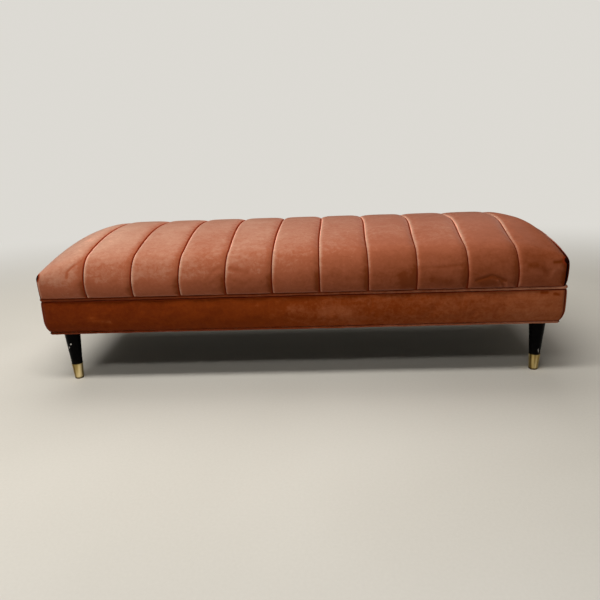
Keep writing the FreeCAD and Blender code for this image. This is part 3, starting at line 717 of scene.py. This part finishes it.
for side, name in enumerate(SIDES):
    covers.append(Cover(f"{name}_band", (round(side_length(side) / BAND_CELL), BAND_ROWS), (0, 0.4),
                        partial(band_point, side), partial(under_band, side), shaded_band_velvet, 0.003))
print("band covers cut, in mm", [round(side_length(side) / MM) for side in range(4)])

# %% [markdown]
# How the nap lies is part of each cover, and painted light and shade are written into it as well.
# Along a seam, the side that is turned to the light gets a painted highlight and the other one
# painted shade. The crown is painted a little paler, a painted highlight, and the front and rear
# are painted deeper below the shoulder, as is the right end above it: painted shade. Creases are
# painted shade along the sewn rims and end in painted dark tips at the pointed corners. Folds and
# strokes that use has left are written down one by one: the change of the nap, the fold's height
# and width in millimetres, and the points that it runs through.

# %% How the nap lies, with painted light and shade
PAINTED_LIP_HIGHLIGHT, PAINTED_LIP_SHADE, DULL_LIP = 6.5 * MM, 13 * MM, 4.5 * MM
# Painted shade at the pointed corner tips, and how wide and deep the painted shade is along each kind of
# crease.
TIP_SHADE_DEPTH, TIP_REACH = 3, 10 * MM
CREASE_SHADES = {"upper welt": (3.0, 1.5), "lower welt": (1.5, 1), "band corner": (3.2, 1.9),
           "channel foot": (2.2, 1.05), "sewn end": (3.8, 2.4)}
# Where a fold is pressed in its nap is darker and where it stands up paler: partly the nap's own marks,
# partly painted shade and highlight of the fold.
MARKS = {
    "seat_channel_01": (
        (-0.24, -2.0, 3.0, ((-578, -243, 355), (-601, -258, 345), (-613, -266, 334), (-614, -272, 319))),
        (-0.6, -2.0, 4, ((-700, -257, 340), (-697, -262, 328))),
    ),
    "seat_channel_04": (
        (-0.2, -0.6, 4, ((-240, -274, 306), (-222, -269, 327), (-203, -262, 337))),
        (-0.15, -0.4, 4, ((-228, -274, 296), (-205, -272, 316))),
    ),
    "seat_channel_05": (
        (-0.22, -0.6, 6, ((-176, -266, 333), (-151, -269, 327), (-132, -270, 322))),
        (-0.12, 0, 5, ((-165, -274, 300), (-140, -275, 292), (-118, -274, 305))),
    ),
    "seat_channel_08": (
        (-0.3, 0, 12, ((272, -275, 302), (280, -272, 276))),
        (-0.28, 0, 8, ((300, -270, 300), (302, -268, 270))),
    ),
    "seat_channel_09": (
        (-0.2, -0.5, 4, ((324, -269, 321), (369, -272, 322), (425, -269, 325))),
        (-0.2, 0, 12, ((350, -275, 288), (395, -275, 282))),
    ),
    "seat_channel_10": (
        (-0.6, -2.6, 3.5, ((464, -273, 284), (487, -275, 291), (502, -275, 296), (520, -275, 289),
                           (537, -274, 281))),
        (-0.2, 0, 14, ((480, -275, 280), (520, -275, 278))),
        (0.5, 2.2, 3, ((517, -274, 283), (524, -270, 274), (527, -266, 265))),
        (0.5, 2.0, 3, ((534, -273, 279), (541, -270, 272), (544, -266, 264))),
        (-0.35, -1.2, 3, ((525, -273, 282), (532, -270, 273), (535, -266, 264))),
        (0.25, 0.8, 3, ((448, -212, 367), (456, -216, 366))),
    ),
    "seat_channel_11": (
        (-0.4, -1.2, 3.5, ((660, -269, 325), (676, -269, 326), (694, -264, 330))),
        (0.16, 0.5, 5, ((655, -271, 290), (660, -271, 305), (672, -270, 312), (688, -268, 303))),
        (-0.22, 0, 8, ((600, -271, 320), (616, -271, 318))),
        (-0.22, 0, 7, ((630, -273, 314), (640, -273, 302))),
    ),
    "front_band": (
        (-0.4, 0, 4, ((638, -262, 243), (652, -262, 242))),
        (-0.4, 0, 4, ((672, -262, 238), (682, -262, 236))),
        (0.22, 0, 7, ((-572, -262, 200), (-548, -262, 193), (-520, -262, 188))),
        (0.2, 0, 24, ((66, -262, 204), (104, -262, 212), (122, -262, 196))),
        (0.14, 0, 14, ((-20, -262, 216), (20, -262, 208))),
    ),
}


def seat_nap_and_painted_light(place, spot, far):
    """Painted highlight and shade at the seam lips, the crown, the right end and below the shoulder."""
    turned = (place.x - spot.x) / max(far, 0.01 * MM)
    half = place.x / HALF_LENGTH
    shoulder = (314 + 12 * half + 16 * noise.noise(place * 22)) * MM
    below = between(place.z, shoulder + 12 * MM, shoulder - 12 * MM) if abs(place.y) > 200 * MM else 0
    crown = between(place.z, 345 * MM, 388 * MM)
    right = between(half, 0.72, 0.92)
    # The seam side turned to the light gets a painted highlight, the other side painted shade, deeper
    # below the shoulder.
    if turned > 0:
        lip = turned * 0.85 * math.exp(-(far / PAINTED_LIP_HIGHLIGHT) ** 2)
    else:
        lip = turned * (0.35 + 0.25 * below) * math.exp(-(far / PAINTED_LIP_SHADE) ** 2)
    # The crown gets a painted highlight; the front and rear below the shoulder and the right end get
    # painted shade.
    crown *= 0.1 + 0.12 * between(half, 0, 0.4) + 0.14 * between(half, -0.6, -0.8)
    plain = crown - 0.12 * between(half, 0, 0.4) - below * (0.18 - 0.14 * max(half, 0) - 0.09 * right)
    return lip + plain - 0.08 * right * (1 - below)


SHADED_TIPS = [Vector((PANEL_EDGE[side], *line.at(corner_share(line))[0].yz))
        for side, line in END_LINES.items()]


def crease_shade_at(name, place, spot):
    """How wide, in mm, and how deep the painted shade of a crease is at a place, from its nearest spot
    on the sewn rim.
    """
    # On the right pillow the painted shade widens into a dark crescent at the front.
    if "pillow" in name:
        shaded = between(-spot.y, 110 * MM, 240 * MM) if spot.x > 0 else 0
        return 1.4 + 11 * shaded, 1.5 + 0.6 * shaded
    if "band" in name:
        if spot.z > BAND_TOP - MM:
            wide, deep = CREASE_SHADES["upper welt"]
            return wide, deep + 0.7 * noise.noise(spot * 30)
        return CREASE_SHADES["lower welt" if spot.z < BAND_BASE + MM else "band corner"]
    if spot.z < CUSHION_BASE + 2 * MM:
        return CREASE_SHADES["channel foot"]
    if SEAMS[0] - MM < spot.x < SEAMS[-1] + 30 * MM:
        return (4.6 if place.x < spot.x else 0.9 + 1.7 * between(place.z, 345 * MM, 305 * MM)), 1.35
    return CREASE_SHADES["sewn end"]


def lip_at(name, place, far):
    """Where the cloth shines less: beside the seams, and towards the right end, where the lost sheen is
    painted shade.
    """
    if "channel" not in name:
        return 0
    return max(math.exp(-(far / DULL_LIP) ** 2), 0.9 * between(place.x, 560 * MM, 660 * MM))


print("marks written down", sum(map(len, MARKS.values())))

# %% [markdown]
# Now the covers are filled. Each becomes cloth, pinned where it is sewn and cut a little larger than
# the space it covers, and a soft pressure from inside blows it against its own threads. That gives
# the small puckers by the seams which no formula has. How far a point may move is capped.

# %% Fill the covers
FILLING_STEPS = 20
CAP = 6 * MM
FILLING = {
    "quality": 6, "mass": 0.25, "tension_stiffness": 18, "compression_stiffness": 18,
    "shear_stiffness": 8, "bending_stiffness": 2, "air_damping": 1.5,
    "vertex_group_mass": "sewn", "use_pressure": True, "uniform_pressure_force": 1.5,
}


def sew(cover):
    """Pin the cover's edges and make it cloth."""
    bm = bmesh.new()
    bm.from_mesh(cover.piece.data)
    sewn = [vert.index for vert in bm.verts if vert.is_boundary]
    bm.free()
    group = cover.piece.vertex_groups.new(name="sewn")
    group.add(sewn, 1.0, "REPLACE")
    cloth = cover.piece.modifiers.new("filling", "CLOTH")
    cloth.collision_settings.use_collision = False
    for name, value in {**FILLING, "shrink_min": -cover.slack}.items():
        setattr(cloth.settings, name, value)
    cloth.settings.effector_weights.gravity = 0
    cloth.point_cache.frame_start, cloth.point_cache.frame_end = 1, FILLING_STEPS


def take_filled(cover, depsgraph):
    """Write the filled form into the mesh, with its moves capped."""
    filled = cover.piece.evaluated_get(depsgraph).to_mesh()
    moves = [vert.co - start for vert, start in zip(filled.vertices, cover.cut)]
    cover.piece.evaluated_get(depsgraph).to_mesh_clear()
    cover.piece.modifiers.clear()
    cover.piece.vertex_groups.clear()
    for vert, start, move in zip(cover.piece.data.vertices, cover.cut, moves):
        length = move.length
        vert.co = start + move * (CAP * math.tanh(length / CAP) / length if length > 0 else 0)
    return max(move.length for move in moves)


for cover in covers:
    sew(cover)
for step in range(1, FILLING_STEPS + 1):
    scene.frame_set(step)
depsgraph = bpy.context.evaluated_depsgraph_get()
furthest = {cover.name: take_filled(cover, depsgraph) for cover in covers}
scene.frame_set(1)
print("filled, furthest moves in mm", {name: round(far / MM, 1) for name, far in furthest.items()})

# %% [markdown]
# A filled cover is then made finer, given its underside and closed by walls between the two.

# %% Close the covers
SHARP = math.radians(60)


def write_nap(cover, bm):
    """Write how the nap lies, with its painted highlight and shade, and the painted shade of the
    creases, and press the folds into the cloth.
    """
    nap, crease, lip = (bm.verts.layers.float.new(name) for name in ("nap", "crease", "lip"))
    rim = [vert for vert in bm.verts if vert.is_boundary]
    tree = kdtree.KDTree(len(rim))
    for index, vert in enumerate(rim):
        tree.insert(vert.co, index)
    tree.balance()
    for vert in bm.verts:
        spot, _, far = tree.find(vert.co)
        wide, deep = crease_shade_at(cover.name, vert.co, spot)
        tip = min((vert.co - corner).length for corner in SHADED_TIPS)
        # Painted shade along the sewn rims and at the corner tips.
        vert[crease] = max(deep * math.exp(-(far / (wide * MM)) ** 2),
                           TIP_SHADE_DEPTH * math.exp(-(tip / TIP_REACH) ** 2))
        vert[lip] = lip_at(cover.name, vert.co, far)
        vert[nap] = seat_nap_and_painted_light(vert.co, spot, far) if "channel" in cover.name else 0
        push = 0
        # A fold's change of nap goes with its push: partly painted shade and highlight of the fold.
        for change, height, width, points in MARKS.get(cover.name, ()):
            near = min(distance(vert.co, a, b) for a, b in zip(points, points[1:])) / (width * MM)
            vert[nap] += change * math.exp(-near ** 2)
            push += height * MM * math.exp(-near ** 2)
        vert.co = vert.co + vert.normal * push * min(far / (6 * MM), 1)


def distance(place, a, b):
    """From a place to the straight line between two points in millimetres."""
    a, b = Vector(a) * MM, Vector(b) * MM
    return (place - a.lerp(b, between((place - a).dot(b - a) / (b - a).length_squared, 0, 1))).length


def finer(piece):
    """One round of subdivision, applied."""
    smooth = piece.modifiers.new("finer", "SUBSURF")
    smooth.levels = smooth.render_levels = 1
    smooth.boundary_smooth = "PRESERVE_CORNERS"
    evaluated = piece.evaluated_get(bpy.context.evaluated_depsgraph_get())
    mesh = bpy.data.meshes.new_from_object(evaluated)
    piece.modifiers.clear()
    return mesh


def close(cover):
    bm = bmesh.new()
    bm.from_mesh(finer(cover.piece))
    bm.normal_update()
    write_nap(cover, bm)
    rim = [edge for edge in bm.edges if edge.is_boundary]
    across, along = cover.grid
    lining = lay_grid(bm, 2 * across, 2 * along, cover.under)
    inner = {edge for vert in lining for edge in vert.link_edges if edge.is_boundary}
    bmesh.ops.bridge_loops(bm, edges=[*rim, *inner])
    bmesh.ops.recalc_face_normals(bm, faces=bm.faces)
    bm.to_mesh(cover.piece.data)
    bm.free()
    cover.piece.data.set_sharp_from_angle(angle=SHARP)
    return cover.piece


def settle(piece, slot, *nodes):
    """A piece rides on the bench's one body and hides the CAD nodes that it stands for. The slot is not
    used.
    """
    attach(piece, "root")
    if nodes:
        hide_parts(*nodes)
    return piece


stands_for = [f"channel_pad_{index + 1:02d}" for index in range(CHANNELS)]
stands_for += ["left_end_panel", "right_end_panel", *(f"{name}_band_cover" for name in SIDES)]
for cover, node in zip(covers, stands_for):
    settle(close(cover), "pink_velvet", node)
print("padded pieces closed", len(covers), "triangles",
      sum(sum(len(face.vertices) - 2 for face in cover.piece.data.polygons) for cover in covers))

# %% [markdown]
# Piping is a cord in a folded strip of velvet, whose flat flange is fixed to the frame. The tube
# wanders a little as a sewn line does, and it is thicker where the strip bunches.

# %% Piping
RING_PITCH, WANDER, FLANGE_THICK, MERGED = 3 * MM, 0.8 * MM, 1.2 * MM, 0.02 * MM


def piping(name, node, radius, inset, bend, level, flange_base, flange_width):
    bm = bmesh.new()
    up = Vector((0, 0, 1))
    for side in range(4):
        rings = round(side_length(side) / RING_PITCH)

        def on_cord(along, around):
            place, outward = round_bench(side, along, inset + bend, bend)
            middle = place + outward * bend + up * level
            stray = outward * noise.noise(middle * 9) + up * noise.noise(middle * 11 + Vector((4, 0, 0)))
            stray += up * 0.7 * noise.noise(middle * 37)
            full = radius * (1 + 0.09 * noise.noise(middle * 120) + 0.1 * noise.noise(middle * 40))
            turn = -2 * math.pi * around
            return middle + stray * WANDER + full * (math.cos(turn) * outward + math.sin(turn) * up)

        def on_flange(along, around):
            corner = round(around * 4) % 4
            rise = flange_base + (FLANGE_THICK if corner in (1, 2) else 0)
            return square_inside(side, along, inset + (radius if corner < 2 else flange_width), rise)

        lay_grid(bm, rings, 12, on_cord)
        lay_grid(bm, rings // 4, 4, on_flange)
    bmesh.ops.remove_doubles(bm, verts=bm.verts, dist=MERGED)
    bmesh.ops.recalc_face_normals(bm, faces=bm.faces)
    piece = new_piece(name, bm, shaded_piping_velvet)
    piece.data.set_sharp_from_angle(angle=SHARP)
    settle(piece, "pink_velvet", node)
    print(name, "triangles", 2 * len(piece.data.polygons))


piping("upper_piping", "upper_welt", radius=3.9 * MM, inset=1.5 * MM, bend=CORNER,
       level=253.7 * MM, flange_base=252.4 * MM, flange_width=22 * MM)
piping("lower_piping", "lower_welt", radius=3 * MM, inset=11.5 * MM, bend=5 * MM,
       level=153.8 * MM, flange_base=150.8 * MM, flange_width=18 * MM)

# %% [markdown]
# Under the channels lies one block of foam with the seat's form, set in by the thickness of the
# padding. It is made as the covers are, from an upper skin and a flat base.

# %% Foam block
FOAM_INSET, DECK_TOP = 22.3 * MM, 252.4 * MM
FOAM_END = HALF_LENGTH - FOAM_INSET


def foam_point(across, along):
    place_x = (2 * across - 1) * FOAM_END
    seam = SEAMS[0] if place_x < 0 else SEAMS[-1]
    fall = max(abs(place_x) - abs(seam), 0) / (FOAM_END - abs(seam))
    place, _ = SEAM_LINE.towards(END_LINES[-1], fall).padded_in(FOAM_INSET).at(along)
    place.x = place_x
    place.z = max(place.z, DECK_TOP)
    return place


def foam_base(across, along):
    place = foam_point(across, 0).lerp(foam_point(across, 1), along)
    place.z = DECK_TOP
    return place


foam_cover = Cover("foam_block", (40, 48), (0, 0), foam_point, foam_base, cream_foam, 0)
settle(close(foam_cover), "seat_foam", "seat_foam")
print("foam block in mm", [round(x / MM) for x in foam_cover.piece.dimensions])

# %% [markdown]
# A hemmed black cloth closes the underside. It dips between the rails and has holes for the bolts.

# %% Dust cover
CLOTH_X, CLOTH_Y, CLOTH_LEVEL = HALF_LENGTH - 20 * MM, HALF_DEPTH - 20 * MM, 150.6 * MM
HEM, HEM_DROP, CLOTH_THICK, SAG, RIPPLE = 12 * MM, 0.7 * MM, 0.4 * MM, 2.2 * MM, 1.4 * MM
LEG_X, LEG_Y, BOLT_HOLE = 653 * MM, 207 * MM, 5.5 * MM


def dust_point(across, along):
    place = Vector(((2 * across - 1) * CLOTH_X, (2 * along - 1) * CLOTH_Y, CLOTH_LEVEL))
    inside = (1 - abs(2 * across - 1) ** 6) * (1 - abs(2 * along - 1) ** 4)
    place.z -= inside * (SAG + RIPPLE * noise.noise(place * 7))
    return place


bm = bmesh.new()
lay_grid(bm, 136, 48, dust_point)
for side in (-1, 1):
    for face in (-1, 1):
        spot = Vector((side * LEG_X, face * LEG_Y, CLOTH_LEVEL))
        nearest = min(bm.verts, key=lambda vert: (vert.co - spot).length)
        made = bmesh.ops.bevel(bm, geom=[nearest], offset=BOLT_HOLE, segments=3, profile=0.5,
                               affect="VERTICES", material=-1)
        bmesh.ops.delete(bm, geom=[face for face in made["faces"] if len(face.verts) > 4],
                         context="FACES_ONLY")
rim = [edge for edge in bm.edges if edge.is_boundary and max(
    abs(edge.verts[0].co.x) / CLOTH_X, abs(edge.verts[0].co.y) / CLOTH_Y) > 0.999]
folded = bmesh.ops.extrude_edge_only(bm, edges=rim)["geom"]
for vert in folded:
    if isinstance(vert, bmesh.types.BMVert):
        vert.co.x -= math.copysign(HEM, vert.co.x) if abs(vert.co.x) > CLOTH_X - MM else 0
        vert.co.y -= math.copysign(HEM, vert.co.y) if abs(vert.co.y) > CLOTH_Y - MM else 0
        vert.co.z -= HEM_DROP
bmesh.ops.recalc_face_normals(bm, faces=bm.faces)
bmesh.ops.solidify(bm, geom=bm.faces[:], thickness=CLOTH_THICK)
dust_sheet = new_piece("dust_sheet", bm, spun_cloth)
settle(dust_sheet, "dust_cloth", "dust_cover")

# %% [markdown]
# Wire staples, bent square and set a little unevenly by hand, hold the hem.

# %% Staples
STAPLE_LENGTH, STAPLE_WIDTH, STAPLE_THICK = 11 * MM, 1.3 * MM, 0.6 * MM
STAPLE_LEG, LEG_RISE = 7 * MM, 3.4 * MM
STAPLE_PITCH, STAPLE_INSET, STAPLE_LEVEL = 46 * MM, 27 * MM, 149.4 * MM
LAST_STAPLE, ALONG_ERROR, OUT_ERROR, TURN_ERROR = 9 * MM, 5, 1.5, 0.25
hand = random.Random(11)
bm = bmesh.new()


def staple(bm, place, turn):
    """One staple with its crown flat under the cloth and its two legs up into the rail."""
    made = []
    crown, leg = (STAPLE_LENGTH, STAPLE_WIDTH, STAPLE_THICK), (STAPLE_THICK, STAPLE_WIDTH, STAPLE_LEG)
    for size, shift in ((crown, (0, 0, 0)), (leg, (STAPLE_LENGTH / 2, 0, LEG_RISE)),
                        (leg, (-STAPLE_LENGTH / 2, 0, LEG_RISE))):
        verts = bmesh.ops.create_cube(bm, size=1)["verts"]
        bmesh.ops.scale(bm, vec=size, verts=verts)
        bmesh.ops.translate(bm, vec=shift, verts=verts)
        made += verts
    bmesh.ops.rotate(bm, cent=(0, 0, 0), matrix=Matrix.Rotation(turn, 3, "Z"), verts=made)
    bmesh.ops.translate(bm, vec=place, verts=made)


count = 0
for side in range(4):
    run, out = side_run(side, STAPLE_INSET)
    length = 2 * (run - LAST_STAPLE)
    steps = round(length / STAPLE_PITCH)
    for step in range(steps + 1):
        along = -length / 2 + length * step / steps + hand.uniform(-ALONG_ERROR, ALONG_ERROR) * MM
        spot = Vector((along, -out + hand.uniform(-OUT_ERROR, OUT_ERROR) * MM, STAPLE_LEVEL))
        turn = math.pi / 2 * side + hand.uniform(-TURN_ERROR, TURN_ERROR)
        staple(bm, quarter_turned(spot, side), turn)
        count += 1
bmesh.ops.bevel(bm, geom=bm.edges[:], offset=STAPLE_THICK / 4, segments=1, profile=0.5,
                affect="EDGES", material=-1)
settle(new_piece("dust_sheet_staples", bm, plated), "zinc_steel")
print("staples", count)

# %% [markdown]
# The set is plain: a pale floor that keeps the bench's shadow, two long soft lamps above and before
# it, to the left, and a wide one behind. Far off, the floor goes over into the pale of the world.

# %% Floor and light
PALE, DIM, LAMP_COLOUR = (0.72, 0.70, 0.655), (0.06, 0.056, 0.048), (1.0, 0.98, 0.95)


def floor_finish():
    finish = Finish("pale_floor")
    cloud = finish.noise(1.2, 3.0, 0.3)
    speck = finish.noise(160.0, 3.0)
    tone = cloud + (speck - 0.5) * 0.4
    ground = finish.surface({
        "Base Color": finish.ramp(tone, ((0.3, (0.55, 0.525, 0.47)), (0.7, (0.60, 0.575, 0.52)))),
        "Roughness": 0.7 + 0.1 * cloud,
        "Specular IOR Level": 0.2,
    })
    apart = finish.node("ShaderNodeVectorMath", {"operation": "LENGTH"},
                        {0: finish.stretched((0.55, 1.0, 1.0))}, "Value")
    far = finish.step(apart, 0.7, 2.0)
    glow = finish.node("ShaderNodeEmission", {}, {"Color": (*PALE, 1.0), "Strength": 1.0})
    return finish.done(finish.either(far * finish.seen_by_eye(), ground, glow))


bm = bmesh.new()
bmesh.ops.create_circle(bm, cap_ends=True, segments=96, radius=14)
floor = new_piece("floor", bm, floor_finish())

room = Finish("pale_room", bpy.data.worlds)
shade = room.mix(room.seen_by_eye(), DIM, PALE)
scene.world = room.done(room.node("ShaderNodeBackground", {}, {"Color": shade}), "World")

for name, place, target, size, power in (
    ("strip_above", (-0.7, -0.95, 2.4), (-0.7, -0.5, 0.3), (2.2, 0.4), 46),
    ("strip_before", (-0.7, -2.2, 2.4), (-0.7, 0, 0.3), (2.2, 0.3), 19),
    ("ceiling", (-0.5, 1.3, 2.8), (-0.3, 0.4, 0), (3.6, 2.4), 60),
):
    light = bpy.data.lights.new(name, "AREA")
    light.shape, light.size, light.size_y = "RECTANGLE", *size
    light.energy, light.color = power, LAMP_COLOUR
    lamp = bpy.data.objects.new(name, light)
    lamp.location = place
    lamp.rotation_euler = (Vector(target) - Vector(place)).to_track_quat("-Z", "Y").to_euler()
    scene.collection.objects.link(lamp)
scene.view_settings.view_transform = "Standard"
print("lamps", len(bpy.data.lights))
